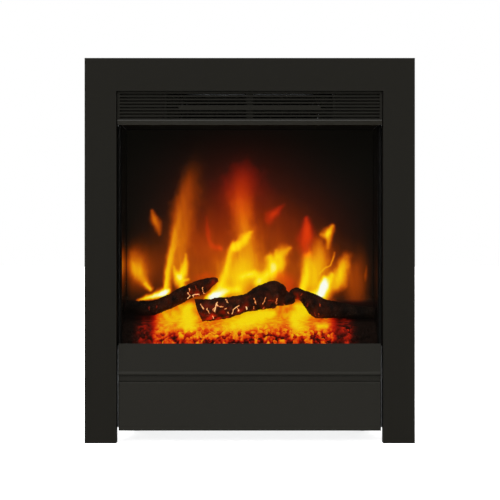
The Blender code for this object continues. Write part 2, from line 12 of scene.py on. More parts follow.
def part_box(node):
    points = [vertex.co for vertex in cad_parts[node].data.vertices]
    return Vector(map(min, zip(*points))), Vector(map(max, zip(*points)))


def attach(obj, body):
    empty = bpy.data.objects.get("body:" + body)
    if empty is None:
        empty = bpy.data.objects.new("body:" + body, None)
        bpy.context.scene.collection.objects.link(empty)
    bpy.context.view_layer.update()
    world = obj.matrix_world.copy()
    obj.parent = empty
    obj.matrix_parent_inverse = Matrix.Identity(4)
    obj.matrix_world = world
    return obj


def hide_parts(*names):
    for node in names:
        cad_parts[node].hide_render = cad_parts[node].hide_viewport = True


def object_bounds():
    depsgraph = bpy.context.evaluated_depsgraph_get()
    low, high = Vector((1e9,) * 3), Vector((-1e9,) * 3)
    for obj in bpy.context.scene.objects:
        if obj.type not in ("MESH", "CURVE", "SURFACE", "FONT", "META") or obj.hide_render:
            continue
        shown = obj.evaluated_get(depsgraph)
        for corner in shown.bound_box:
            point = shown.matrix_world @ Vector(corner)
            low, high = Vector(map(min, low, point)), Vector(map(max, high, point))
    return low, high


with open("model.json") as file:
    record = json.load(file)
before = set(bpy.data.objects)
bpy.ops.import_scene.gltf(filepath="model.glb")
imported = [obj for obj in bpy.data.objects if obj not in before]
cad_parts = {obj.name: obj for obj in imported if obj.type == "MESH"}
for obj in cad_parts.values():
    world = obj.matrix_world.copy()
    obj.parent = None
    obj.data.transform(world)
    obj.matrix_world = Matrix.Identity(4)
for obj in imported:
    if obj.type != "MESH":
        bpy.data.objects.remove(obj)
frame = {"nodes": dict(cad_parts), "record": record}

mm = 0.001
FIRE = "fire"
CAD_BOX = [list(corner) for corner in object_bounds()]
FRONT, FOOT = CAD_BOX[0][1:]
X_AXIS, Y_AXIS, Z_AXIS = Vector((1, 0, 0)), Vector((0, 1, 0)), Vector((0, 0, 1))


def srgb(red, green, blue):
    """A display colour, 0 to 255, as the linear colour that shaders take."""
    parts = []
    for value in (red, green, blue):
        c = value / 255
        parts.append(c / 12.92 if c <= 0.04045 else ((c + 0.055) / 1.055) ** 2.4)
    return (*parts, 1.0)


# -------- node helpers


class Wiring:
    """A node tree being wired up. Each helper adds one node, and most return its output."""

    def __init__(self, owner, kind, coordinates="Object"):
        owner.use_nodes = True
        self.nodes, self.links = owner.node_tree.nodes, owner.node_tree.links
        self.nodes.clear()
        self.surface = self.node(f"Output{kind}").inputs["Surface"]
        self.coordinates = self.node("TexCoord").outputs[coordinates]

    def feed(self, socket, value):
        if isinstance(value, bpy.types.NodeSocket):
            self.links.new(value, socket)
        else:
            socket.default_value = value

    def node(self, kind, **inputs):
        node = self.nodes.new(f"ShaderNode{kind}")
        for key, value in inputs.items():
            self.feed(node.inputs[key.replace("_", " ")], value)
        return node

    def principled(self, **inputs):
        self.feed(self.surface, self.node("BsdfPrincipled", **inputs).outputs["BSDF"])

    def blend(self, factor, first, second):
        """The surface as a mix of two shaders."""
        node = self.node("MixShader")
        for socket, value in zip(node.inputs, (factor, first.outputs[0], second.outputs[0])):
            self.feed(socket, value)
        self.feed(self.surface, node.outputs[0])

    def mapped(self, scale):
        return self.node("Mapping", Vector=self.coordinates, Scale=scale).outputs["Vector"]

    def noise(self, scale, detail=4.0, roughness=0.5, vector=None):
        vector = vector or self.coordinates
        node = self.node("TexNoise", Vector=vector, Scale=scale, Detail=detail, Roughness=roughness)
        return node.outputs["Fac"]

    def voronoi(self, scale, feature="F1", output="Distance"):
        node = self.node("TexVoronoi", Vector=self.coordinates, Scale=scale)
        node.feature = feature
        return node.outputs[output]

    def ramp(self, factor, stops):
        node = self.node("ValToRGB", Fac=factor)
        elements = node.color_ramp.elements
        while len(elements) > 1:
            elements.remove(elements[-1])
        elements[0].position, elements[0].color = stops[0]
        for position, colour in stops[1:]:
            elements.new(position).color = colour
        return node.outputs["Color"]

    def tones(self, factor, stops):
        """A ramp through display colours."""
        return self.ramp(factor, [(position, srgb(*colour)) for position, colour in stops])

    def spread(self, factor, low, high):
        """factor, from 0 to 1, stretched to run from low to high."""
        return self.node("MapRange", Value=factor, To_Min=low, To_Max=high).outputs["Result"]

    def math(self, operation, first, second):
        node = self.node("Math")
        node.operation = operation
        self.feed(node.inputs[0], first)
        self.feed(node.inputs[1], second)
        return node.outputs[0]

    def mix(self, factor, first, second, blend="MIX"):
        node = self.node("Mix", Factor=factor)
        node.data_type = "RGBA"
        node.blend_type = blend
        self.feed(node.inputs[6], first)
        self.feed(node.inputs[7], second)
        return node.outputs[2]

    def bump(self, height, strength, distance):
        node = self.node("Bump", Strength=strength, Distance=distance, Height=height)
        return node.outputs["Normal"]

    def attribute(self, name):
        node = self.node("Attribute")
        node.attribute_name = name
        return node.outputs["Fac"]


class Shader(Wiring):
    """A new material being wired up."""

    def __init__(self, name):
        self.material = bpy.data.materials.new(name)
        super().__init__(self.material, "Material")


# -------- finishes


def dimmed(colour, share):
    """The colour at that share of its brightness."""
    return [share * c for c in colour[:3]] + [1]


def powder_coat(name, colour, roughness=0.55, level=0.12):
    """Matt powder coat: fine orange peel and a trace of cloudiness."""
    s = Shader(name)
    cloud = s.noise(14, 3)
    grain = s.noise(1500, 2)
    tone = s.mix(s.spread(cloud, 0.3, 0.7), dimmed(colour, 0.92), dimmed(colour, 1.08))
    tone = s.mix(s.spread(grain, 0.0, 0.35), tone, dimmed(colour, 0.7))
    s.principled(
        Base_Color=tone,
        Roughness=s.spread(cloud, roughness - 0.05, roughness + 0.05),
        Specular_IOR_Level=level,
        Normal=s.bump(grain, 0.25, 0.15 * mm),
    )
    return s.material


def galvanised_steel(name):
    """Zinc-coated sheet: soft grey crystals of uneven brightness."""
    s = Shader(name)
    crystals = s.voronoi(170, output="Color")
    streak = s.noise(30, 5, vector=s.mapped((1, 1, 0.15)))
    zinc = s.tones(crystals, [(0.0, (166, 168, 171)), (1.0, (194, 196, 198))])
    tone = s.mix(0.25, zinc, streak, "OVERLAY")
    s.principled(
        Base_Color=tone,
        Metallic=0.85,
        Roughness=s.spread(crystals, 0.38, 0.50),
        Normal=s.bump(s.noise(300, 2), 0.12, 0.1 * mm),
    )
    return s.material


def brushed_steel(name, colour=(0.56, 0.56, 0.57, 1)):
    s = Shader(name)
    brush = s.noise(900, 3, vector=s.mapped((0.04, 1, 1)))
    s.principled(
        Base_Color=s.mix(s.spread(brush, 0, 0.6), colour, dimmed(colour, 0.7)),
        Metallic=1.0,
        Roughness=s.spread(brush, 0.22, 0.42),
        Normal=s.bump(brush, 0.1, 0.05 * mm),
    )
    return s.material


def moulded_plastic(name, colour, roughness=0.45, level=0.4):
    s = Shader(name)
    grain = s.noise(2200, 2)
    s.principled(
        Base_Color=s.mix(s.spread(s.noise(40, 3), 0, 0.5), colour, dimmed(colour, 0.75)),
        Roughness=s.spread(grain, roughness - 0.08, roughness + 0.08),
        Specular_IOR_Level=level,
        Normal=s.bump(grain, 0.15, 0.08 * mm),
    )
    return s.material


def circuit_board(name):
    s = Shader(name)
    tracks = s.voronoi(350, "DISTANCE_TO_EDGE")
    tone = s.tones(tracks, [(0.0, (34, 96, 52)), (0.12, (20, 66, 34)), (1.0, (16, 58, 30))])
    s.principled(Base_Color=tone, Roughness=0.4, Normal=s.bump(tracks, 0.1, 0.05 * mm))
    return s.material


def fired_ceramic(name):
    s = Shader(name)
    speck = s.noise(600, 4)
    s.principled(
        Base_Color=s.tones(speck, [(0.3, (206, 198, 182)), (0.7, (232, 226, 212))]),
        Roughness=0.8,
        Normal=s.bump(speck, 0.2, 0.1 * mm),
    )
    return s.material


def clear_glass(name):
    """Toughened glass: clear, with a thin reflection that grows towards the edges of view."""
    s = Shader(name)
    through = s.node("BsdfTransparent", Color=(0.97, 0.975, 0.97, 1))
    shine = s.node("BsdfGlossy", Roughness=s.spread(s.noise(9, 4), 0.01, 0.05))
    fresnel = s.node("Fresnel", IOR=1.30)
    outside = s.math("SUBTRACT", 1.0, s.node("NewGeometry").outputs["Backfacing"])
    s.blend(s.math("MULTIPLY", fresnel.outputs[0], outside), through, shine)
    return s.material


def dark_mirror(name):
    """Polished black sheet that reflects the flames."""
    s = Shader(name)
    ripple = s.noise(60, 3)
    s.principled(
        Base_Color=(0.42, 0.40, 0.37, 1),
        Metallic=1.0,
        Roughness=s.spread(ripple, 0.05, 0.12),
        Normal=s.bump(ripple, 0.01, 0.1 * mm),
    )
    return s.material


# Display colours of light, by heat, redness, depth in a crack and the painted firelight on the logs. HEAT_TOP
# is the hottest shown.
HEAT_TOP = 1.4
FLAME_COLOURS = [
    (0.00, (7, 6, 4)), (0.06, (12, 9, 5)), (0.12, (27, 13, 5)), (0.20, (60, 24, 3)),
    (0.30, (104, 38, 1)), (0.40, (145, 56, 2)), (0.50, (180, 78, 2)), (0.60, (210, 108, 3)),
    (0.70, (232, 144, 4)), (0.80, (243, 178, 4)), (0.90, (252, 206, 4)), (1.00, (255, 228, 14)),
    (1.15, (255, 246, 130)), (1.35, (255, 255, 240)),
]
RED_COLOURS = [
    (0.0, (0, 0, 0)), (0.15, (45, 3, 0)), (0.30, (98, 8, 0)), (0.45, (150, 18, 2)),
    (0.60, (205, 42, 2)), (0.75, (240, 86, 20)), (1.0, (255, 170, 110)),
]
EMBER_COLOURS = [
    (0.00, (5, 3, 2)), (0.15, (38, 4, 1)), (0.28, (100, 8, 2)), (0.40, (160, 16, 2)),
    (0.50, (200, 36, 2)), (0.60, (226, 76, 4)), (0.70, (240, 122, 6)), (0.80, (244, 170, 4)),
    (0.90, (251, 203, 5)), (1.00, (255, 228, 14)), (1.20, (255, 246, 150)),
]
CRACK_COLOURS = [
    (0.0, (0, 0, 0)), (0.12, (34, 3, 1)), (0.30, (122, 16, 3)), (0.50, (226, 108, 38)),
    (0.70, (255, 194, 120)), (1.0, (255, 232, 176)),
]
# Painted firelight: colours of the fire's red light painted on the logs.
PAINTED_FIRELIGHT_COLOURS = [
    (0.0, (2, 1, 0)), (0.25, (42, 13, 2)), (0.5, (76, 18, 2)), (0.75, (122, 18, 2)),
    (1.0, (180, 32, 4)),
]


def glow_colours(s, heat, red, colours=FLAME_COLOURS):
    """Light of a flame of that heat, with the red light of cooler gas added."""
    scaled = s.math("DIVIDE", heat, HEAT_TOP)
    flame = s.tones(scaled, [(level / HEAT_TOP, colour) for level, colour in colours])
    return s.mix(1.0, flame, s.tones(red, RED_COLOURS), "ADD")


def flame_light(name):
    """The lit flame picture on its dark screen."""
    s = Shader(name)
    lit = glow_colours(s, s.attribute("flame_heat"), s.attribute("flame_red"))
    s.principled(
        Base_Color=(0.0006, 0.0005, 0.0004, 1),
        Roughness=0.6,
        Specular_IOR_Level=0.03,
        Emission_Color=lit,
        Emission_Strength=1.03,
    )
    return s.material


def ember_resin(name):
    """Lit resin: its own light through the shell, over a dark gritty surface."""
    s = Shader(name)
    grit = s.noise(420, 5, 0.6)
    heat, red = s.attribute("flame_heat"), s.attribute("flame_red")
    embers = glow_colours(s, heat, red, EMBER_COLOURS)
    lit = s.mix(s.attribute("flame_share"), embers, glow_colours(s, heat, red))
    s.principled(
        Base_Color=s.tones(grit, [(0.3, (7, 4, 3)), (0.7, (20, 9, 5))]),
        Roughness=0.9,
        Specular_IOR_Level=0.03,
        Emission_Color=s.mix(s.spread(grit, 0.0, 0.16), lit, (0, 0, 0, 1)),
        Emission_Strength=1.05,
        Normal=s.bump(grit, 0.3, 0.5 * mm),
    )
    return s.material


def char_bark(name):
    """Charred bark: near-black blocks with the fire's red light painted on them, and cracks lit from within.
    """
    s = Shader(name)
    fine = s.noise(500, 5, 0.65)
    broad = s.noise(60, 4)
    dark = s.tones(broad, [(0.35, (6, 2, 1)), (0.55, (17, 8, 4)), (0.72, (32, 17, 9))])
    fire = s.tones(s.attribute("crack_light"), CRACK_COLOURS)
    # Painted light: the fire's red light on the bark, added to the glow of the cracks.
    painted_firelight = s.tones(s.attribute("painted_firelight"), PAINTED_FIRELIGHT_COLOURS)
    s.principled(
        Base_Color=s.mix(s.spread(fine, 0, 0.7), dark, srgb(5, 3, 2)),
        Roughness=s.spread(fine, 0.7, 0.95),
        Specular_IOR_Level=0.05,
        Emission_Color=s.mix(1.0, fire, painted_firelight, "ADD"),
        Emission_Strength=1.0,
        Normal=s.bump(fine, 0.5, 0.6 * mm),
    )
    return s.material


COAT = powder_coat("black_powder_coat", (0.0079, 0.0073, 0.0054, 1), 0.6, 0.06)
FRET_COAT = powder_coat("fret_powder_coat", (0.0118, 0.0111, 0.0086, 1), 0.55, 0.08)
SATIN = powder_coat("satin_powder_coat", (0.0080, 0.0070, 0.0044, 1), 0.22, 0.21)
DARK = powder_coat("heatproof_black", (0.006, 0.0055, 0.005, 1), 0.7, 0.05)
ZINC = galvanised_steel("galvanised_steel")
STEEL = brushed_steel("plain_steel")
BRIGHT = brushed_steel("reflector_foil", (0.86, 0.86, 0.87, 1))
PLASTIC = moulded_plastic("black_plastic", (0.018, 0.018, 0.019, 1))
ROCKER = moulded_plastic("rocker_plastic", (0.030, 0.030, 0.032, 1), 0.28, 0.5)
RUBBER = moulded_plastic("foot_rubber", (0.012, 0.012, 0.012, 1), 0.85, 0.15)
SEAL = moulded_plastic("seal_rubber", (0.0035, 0.0030, 0.0026, 1), 0.9, 0.05)
LABEL = moulded_plastic("label_film", (0.60, 0.60, 0.58, 1), 0.5, 0.3)
BOARD = circuit_board("circuit_board")
CERAMIC = fired_ceramic("ceramic")
GLASS = clear_glass("clear_glass")
MIRROR = dark_mirror("dark_mirror")
# Painted shade: a dark coat on the blower's zinc parts, which sit in shade behind the grille.
SHADED_ZINC = powder_coat("painted_shade_zinc", (0.020, 0.021, 0.015, 1), 0.6, 0.1)
BACKING = powder_coat("backing_powder_coat", (0.022, 0.021, 0.017, 1), 0.7, 0.08)
# Painted shade: the heater fins are coloured dark because they sit in shade behind the grille.
HEATER = powder_coat("painted_shade_fins", (0.016, 0.015, 0.014, 1), 0.7, 0.1)
FLAME = flame_light("flame_picture")
EMBER = ember_resin("ember_resin")
BARK = char_bark("charred_bark")

# Finishes of single nodes. The dark ones on the blower and heater parts are painted shade.
NODE_FINISH = {
    "glass_retainer": SATIN,
    "chamber_liner_left": MIRROR,
    "chamber_liner_right": MIRROR,
    "blanking_plate_left": BACKING,
    "blanking_plate_right": BACKING,
    "blower_cheek_left": SHADED_ZINC,
    "blower_cheek_right": SHADED_ZINC,
    "outlet_deflector": SHADED_ZINC,
    "blower_scroll": SHADED_ZINC,
    "duct_cover": SHADED_ZINC,
    "heating_element": HEATER,
}
SLOT_FINISH = {
    "black_coat": COAT,
    "fret_coat": FRET_COAT,
    "galvanised": ZINC,
    "dark_metal": DARK,
    "glass": GLASS,
    "screen": FLAME,
    "ember": EMBER,
    "log": BARK,
    "mirror": BRIGHT,
    "plastic": PLASTIC,
    "rocker": ROCKER,
    "board": BOARD,
    "ceramic": CERAMIC,
    "steel": STEEL,
    "rubber": RUBBER,
    "magnet": STEEL,
}


def dress_cad():
    """Gives every CAD node the finish that NODE_FINISH lists for it, or else the finish of its material slot.
    The dark finishes listed for the blower and heater parts are painted shade.
    """
    slots = {row["node"]: row["material_slot"] for row in frame["record"]["subparts"]}
    for node, item in frame["nodes"].items():
        finish = NODE_FINISH.get(node) or SLOT_FINISH[slots[node]]
        item.data.materials.clear()
        item.data.materials.append(finish)


def add_object(name, data):
    item = bpy.data.objects.new(name, data)
    bpy.context.scene.collection.objects.link(item)
    return item


def add_piece(name, mesh, material, replaces=(), smooth=True):
    """A piece of the fire, which may take the place of CAD nodes."""
    item = add_object(name, mesh)
    mesh.materials.append(material)
    if smooth:
        mesh.shade_smooth()
        mesh.set_sharp_from_angle(angle=radians(45))
    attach(item, FIRE)
    if replaces:
        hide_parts(*replaces)
    return item


def mesh_of(name, shape):
    """The mesh of a bmesh, which is freed."""
    mesh = bpy.data.meshes.new(name)
    shape.to_mesh(mesh)
    shape.free()
    return mesh


def band_faces(lower, upper):
    """Faces between two closed loops of points."""
    count = len(lower)
    pairs = ((j, (j + 1) % count) for j in range(count))
    return [(lower[j], lower[k], upper[k], upper[j]) for j, k in pairs]


def skin(shape, loops):
    """Walls between closed loops of points, with a cap on the first and on the last."""
    for lower, upper in zip(loops, loops[1:]):
        for face in band_faces(lower, upper):
            shape.faces.new(face)
    shape.faces.new(loops[-1])
    shape.faces.new(loops[0][::-1])


def store(mesh, name, values):
    layer = mesh.attributes.new(name, "FLOAT", "POINT")
    layer.data.foreach_set("value", np.asarray(values, dtype=np.float32))


# -------- flames

# Licks of flame on the screen, by stations from root to tip in millimetres: x, z, half width and heat.
# Redness takes the place of heat in the red licks.
LICKS = {
    "tall_left": [
        (-137, 229, 3.2, 0.94), (-134, 256, 3.8, 0.86), (-128, 289, 5, 0.77), (-122, 322, 6.5, 0.66),
        (-115, 350, 9, 0.54), (-107, 378, 11, 0.46), (-100, 404, 11, 0.37), (-95, 425, 10, 0.25),
        (-92, 443, 8, 0.12),
    ],
    "tall_left_veil": [
        (-116, 262, 9, 0.50), (-112, 292, 10, 0.50), (-106, 325, 11, 0.46), (-100, 355, 11, 0.38),
    ],
    "short_left": [
        (-110, 240, 6, 0.84), (-113, 252, 8.5, 0.96), (-108, 264, 7, 0.92), (-105, 276, 5, 0.78),
        (-103, 290, 3.2, 0.58),
    ],
    "short_left_horn": [(-114, 252, 6, 0.90), (-120, 261, 4.5, 0.82), (-123, 270, 3, 0.64)],
    "spark_left": [
        (-146, 324, 3.0, 0.36), (-150, 336, 4.6, 0.54), (-154, 346, 5.2, 0.60), (-158, 360, 3.4, 0.42),
    ],
    "low_left": [
        (-194, 274, 9, 0.50), (-184, 264, 11, 0.58), (-174, 250, 7, 0.60), (-163, 237, 3.4, 0.66),
    ],
    "low_left_back": [(-186, 288, 9, 0.42), (-183, 276, 12, 0.52), (-179, 264, 11, 0.54)],
    "low_left_foot": [(-162, 235, 3.4, 0.74), (-169, 242, 3.2, 0.66)],
    "root_left": [
        (-182, 213, 1.6, 0.8), (-166, 219, 3.6, 1.02), (-151, 223, 5, 1.25), (-140, 227, 6, 1.4),
        (-132, 231, 4, 1.1),
    ],
    "log_edge": [(-106, 247, 2.6, 0.8), (-99, 250, 2.6, 0.66)],
    "middle_edge": [
        (-60, 222, 6, 1.1), (-50, 234, 7, 0.94), (-42, 252, 5, 0.82), (-36, 272, 4.6, 0.76),
        (-32, 292, 4.6, 0.78), (-26, 306, 5.5, 0.84),
    ],
    "middle_root": [
        (-68, 219, 4, 1.0), (-57, 222, 6, 1.42), (-49, 225, 6, 1.2), (-36, 230, 7, 0.92),
        (-20, 234, 7, 0.78),
    ],
    "middle_body": [
        (-22, 238, 22, 0.72), (-14, 262, 24, 0.68), (-6, 290, 20, 0.60), (-5, 316, 16, 0.55),
        (-10, 345, 16, 0.52), (-13, 372, 17, 0.44), (-14, 398, 15, 0.27), (-13, 420, 12, 0.13),
    ],
    "middle_heart": [
        (-24, 300, 7, 0.80), (-14, 309, 8, 0.84), (-5, 318, 7.5, 0.84), (1, 325, 4.5, 0.72),
    ],
    "middle_low": [(-12, 254, 8, 0.74), (0, 257, 8, 0.80), (12, 255, 7, 0.74), (16, 244, 7, 0.72)],
    "zigzag": [
        (14, 244, 7, 0.78), (24, 252, 9, 0.84), (36, 262, 10, 0.88), (37, 273, 9, 0.88),
        (33, 284, 6, 0.82),
    ],
    "zigzag_tip": [
        (42, 268, 10, 0.82), (49, 278, 10, 0.76), (52, 289, 9, 0.72), (59, 296, 7, 0.70),
        (66, 300, 4, 0.60),
    ],
    "zigzag_horn": [(45, 286, 5, 0.74), (43, 296, 3.4, 0.60)],
    "right_edge": [(85, 228, 6, 0.92), (89, 248, 6.5, 0.88), (92, 266, 7, 0.78), (93, 284, 7, 0.64)],
    "right_body": [
        (104, 246, 15, 0.72), (108, 268, 16, 0.66), (112, 292, 14, 0.58), (112, 308, 9, 0.48),
    ],
    "right_tip": [
        (116, 322, 3.6, 0.58), (123, 322, 6, 0.76), (129, 328, 5.5, 0.80), (134, 338, 3, 0.68),
    ],
    "right_tip_tail": [(127, 324, 5, 0.76), (128, 312, 4, 0.66), (126, 300, 4, 0.52)],
    "right_heart": [(115, 226, 8, 1.42), (119, 236, 7.5, 1.42), (122, 248, 5, 1.1)],
    "right_halo": [(98, 226, 6, 0.92), (117, 229, 12, 0.96), (127, 244, 9, 0.92), (134, 256, 5, 0.84)],
    "right_tongue": [
        (140, 238, 8, 0.74), (144, 250, 10, 0.84), (150, 264, 10, 0.82), (154, 276, 9, 0.70),
        (156, 283, 7, 0.54),
    ],
    "far_right": [(172, 214, 16, 0.29), (170, 243, 15, 0.30), (170, 266, 12, 0.25)],
    "far_right_wisp": [(188, 246, 1.6, 0.30), (189, 258, 2.0, 0.40), (190, 270, 1.4, 0.30)],
    "streak": [
        (112, 257, 1.6, 0.60), (122, 267, 1.6, 0.62), (131, 272, 1.4, 0.64), (136, 281, 1.4, 0.64),
        (137, 292, 1.4, 0.5),
    ],
}
RED_LICKS = {
    "top": [
        (-14, 366, 22, 0.26), (-14, 396, 23, 0.38), (-10, 420, 17, 0.34), (-7, 436, 10, 0.22),
        (-4, 452, 3.0, 0.1),
    ],
    "tongue": [
        (92, 292, 7, 0.40), (89, 306, 10, 0.50), (93, 320, 10, 0.58), (94, 334, 7.5, 0.58),
        (92, 346, 4, 0.50),
    ],
    "flick": [
        (-71, 350, 2.4, 0.24), (-69, 330, 3.2, 0.34), (-64, 312, 3.6, 0.34), (-57, 302, 5, 0.36),
        (-47, 299, 4.4, 0.42),
    ],
    "slant": [(29, 345, 6, 0.36), (38, 355, 6.5, 0.50), (47, 363, 4.5, 0.40), (55, 370, 2.8, 0.24)],
    "low_blob": [(60, 228, 9, 0.46), (64, 244, 10, 0.42), (50, 252, 8, 0.38)],
    "log_tip": [(-84, 250, 7, 0.3), (-72, 255, 7, 0.34), (-58, 252, 6, 0.3)],
}
# Broad glows behind the licks: centre x and z, spread in x and z, heat.
GLOWS = [
    (-8, 268, 150, 118, 0.44),
    (-186, 266, 46, 44, 0.42),
    (112, 262, 46, 52, 0.40),
    (-100, 280, 50, 70, 0.26),
    (10, 255, 90, 46, 0.44),
    (176, 256, 40, 50, 0.30),
]
RED_GLOWS = [(-15, 372, 90, 66, 0.25), (60, 330, 80, 62, 0.20), (-60, 310, 60, 60, 0.26)]
# Light in the ember bank, seen between and below the logs.
EMBER_LICKS = {
    "left": [(-96, 214, 6, 0.93), (-101, 200, 12, 0.94), (-99, 186, 15, 0.92), (-94, 174, 15, 0.84)],
    "left_edge": [(-122, 190, 10, 0.70), (-132, 178, 12, 0.64)],
    "middle": [
        (36, 197, 7, 0.93), (19, 193, 13, 0.94), (-3, 187, 14, 0.90), (-28, 178, 14, 0.80),
        (-50, 170, 10, 0.62),
    ],
    "right": [(79, 213, 9, 0.94), (86, 198, 13, 0.95), (72, 188, 11, 0.92), (80, 172, 14, 0.84)],
    "far_right": [(109, 178, 5, 0.84), (121, 178, 5, 0.80)],
}


# Licks that are crisp on the left and soft on the right, and how soft. The others are even.
LEANS = {"tall_left": 0.9, "middle_edge": 1, "right_edge": 0.6}
LICK_SPACING = 1.5


def smoothstep(value, start, end):
    t = np.clip((value - start) / (end - start), 0, 1)
    return t * t * (3 - 2 * t)


def value_noise(u, v, seed):
    """Smooth noise from -1 to 1 over a plane, one lump per unit."""
    size = 64
    table = np.random.default_rng(seed).uniform(-1, 1, (size, size))
    iu, iv = np.floor(u).astype(int), np.floor(v).astype(int)
    fu, fv = smoothstep(u - iu, 0, 1), smoothstep(v - iv, 0, 1)

    def corner(right, up):
        return table[(iu + right) % size, (iv + up) % size]

    near = corner(0, 0) * (1 - fu) + corner(1, 0) * fu
    far = corner(0, 1) * (1 - fu) + corner(1, 1) * fu
    return near * (1 - fv) + far * fv


def cloud_noise(u, v, seed, octaves=3):
    total = np.zeros_like(u)
    for octave in range(octaves):
        total += value_noise(u * 2**octave, v * 2**octave, seed + octave) / 2**octave
    return total / 1.75


def smooth_path(stations, axes, spacing):
    """Points at about that spacing along a smooth curve through the stations, with every value blended.

    The first values of a station are its place, one for each of the axes.
    """
    data = np.array(stations, float)
    steps = np.linalg.norm(np.diff(data[:, :axes], axis=0), axis=1)
    keys = np.concatenate([[0], np.cumsum(steps)])
    slopes = np.gradient(data, keys, axis=0)
    result = []
    for s in np.linspace(0, keys[-1], max(2, int(keys[-1] / spacing) + 1)):
        i = min(len(keys) - 2, int(np.searchsorted(keys, s, side="right")) - 1)
        span = keys[i + 1] - keys[i]
        t = (s - keys[i]) / span
        a = 2 * t**3 - 3 * t**2 + 1
        b = (t**3 - 2 * t**2 + t) * span
        c = 3 * t**2 - 2 * t**3
        d = (t**3 - t**2) * span
        result.append(a * data[i] + b * slopes[i] + c * data[i + 1] + d * slopes[i + 1])
    return np.array(result)


def lick_field(x, z, lean, stations, seed):
    """Heat of one lick of flame. lean, from 0 to 1, is how soft its right side is."""
    path = smooth_path(stations, 2, LICK_SPACING)
    reach = 3.2 * path[:, 2].max() * (1 + lean) + 6
    field = np.zeros_like(x)
    near = (x > path[:, 0].min() - reach) & (x < path[:, 0].max() + reach)
    near &= (z > path[:, 1].min() - reach) & (z < path[:, 1].max() + reach)
    px, pz = x[near], z[near]
    if not len(px):
        return field
    dx = px[:, None] - path[None, :, 0]
    dz = pz[:, None] - path[None, :, 1]
    away = np.hypot(dx, dz) / np.maximum(path[None, :, 2], 0.5)
    k = away.argmin(axis=1)
    rows = np.arange(len(k))
    tangent = np.gradient(path[:, :2], axis=0)
    side = tangent[k, 1] * dx[rows, k] - tangent[k, 0] * dz[rows, k]
    soft = np.clip(np.sign(side) * lean, 0, 1)
    r = away[rows, k] / (1.45 + 1.2 * soft)
    r = r * (1 + 0.3 * cloud_noise(px / 13 + seed, pz / 17, seed))
    profile = np.exp(-(r ** (2.1 - 0.5 * soft)))
    field[near] = path[k, 3] * profile
    return field


def picture_field(x, z, licks, seed=0):
    total = np.zeros_like(x)
    for number, (name, stations) in enumerate(licks.items()):
        total += lick_field(x, z, LEANS.get(name, 0), stations, seed + 3 * number) ** 4
    return total**0.25


def glow_field(x, z, glows):
    total = np.zeros_like(x)
    for cx, cz, sx, sz, heat in glows:
        total += (heat * np.exp(-(((x - cx) / sx) ** 2) - ((z - cz) / sz) ** 2)) ** 2
    return total**0.5


# How far the whole picture is lifted on the screen.
SCREEN_RISE = 1.5


def flame_fields(x, z):
    """(heat, redness) of the flame picture at places on the screen, in millimetres."""
    z = z - SCREEN_RISE
    wx = x + 2.2 * cloud_noise(x / 22, z / 30, 1) + 0.9 * cloud_noise(x / 6, z / 10, 2)
    wz = z + 3.0 * cloud_noise(x / 20, z / 26, 3) + 1.6 * cloud_noise(x / 7, z / 9, 4)
    licks = picture_field(wx, wz, LICKS)
    glow = glow_field(x, z, GLOWS) * (1 + 0.12 * cloud_noise(x / 16, z / 40, 6))
    heat = (licks**2.2 + glow**2.2) ** (1 / 2.2)
    fibre = cloud_noise(wx / 5.5 + wz / 50, wz / 38, 8, 3)
    walls = smoothstep(x, -206, -188) * smoothstep(-x, -204, -180)
    heat = heat * (1 + 0.06 * fibre) * (0.45 + 0.55 * walls)
    red = (picture_field(wx, wz, RED_LICKS, 50) ** 2 + glow_field(x, z, RED_GLOWS) ** 2) ** 0.5
    return heat, red


def grid_faces(columns, rows):
    faces = []
    for r in range(rows - 1):
        for c in range(columns - 1):
            a = r * columns + c
            faces.append((a, a + 1, a + columns + 1, a + columns))
    return faces


def slab_behind(verts, faces, columns, rows, back):
    """Closes a grid that faces -Y into a slab, with its back flat at y = back."""
    rim = list(range(columns))
    rim += [r * columns + columns - 1 for r in range(1, rows)]
    rim += [(rows - 1) * columns + c for c in range(columns - 2, -1, -1)]
    rim += [r * columns for r in range(rows - 2, 0, -1)]
    first = len(verts)
    for index in rim:
        x, _, z = verts[index]
        verts.append((x, back, z))
    behind = range(first, first + len(rim))
    faces += [(b, a, c, d) for a, b, d, c in band_faces(rim, behind)]
    faces.append(tuple(reversed(behind)))


def build_flame_picture():
    low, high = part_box("flame_screen")
    pitch = 1.4 * mm
    columns = int((high.x - low.x) / pitch) + 1
    rows = int((high.z - low.z) / pitch) + 1
    xs = np.linspace(low.x, high.x, columns)
    zs = np.linspace(low.z, high.z, rows)
    gx, gz = np.meshgrid(xs, zs)
    verts = [(float(a), low.y, float(b)) for a, b in zip(gx.ravel(), gz.ravel())]
    faces = grid_faces(columns, rows)
    slab_behind(verts, faces, columns, rows, high.y)
    mesh = bpy.data.meshes.new("flame_picture")
    mesh.from_pydata(verts, [], faces)
    mesh.validate()
    heat, red = flame_fields(gx.ravel() / mm, gz.ravel() / mm)
    spare = np.zeros(len(verts) - len(heat))
    store(mesh, "flame_heat", np.concatenate([heat, spare]))
    store(mesh, "flame_red", np.concatenate([red, spare]))
    add_piece("flame_picture", mesh, FLAME, ["flame_screen"], smooth=False)


# -------- embers

# The bank's run from front to back, its foot, and the rise of its front and of its back.
BANK_FRONT, BANK_BACK = -55 * mm, 16.5 * mm
BANK_FOOT, BANK_RISE = 150 * mm, 37 * mm
BACK_STEP = 10 * mm
COALS = 190


def bank_height(y):
    """Profile of the ember bed from front to back: a steep front, a shelf for the logs, and a rise behind."""
    front = BANK_RISE * (1 - np.exp(-(y - BANK_FRONT) / (14 * mm)))
    behind = BANK_RISE / (1 + np.exp(-(y - BACK_STEP) / (1.6 * mm)))
    return BANK_FOOT + front + behind


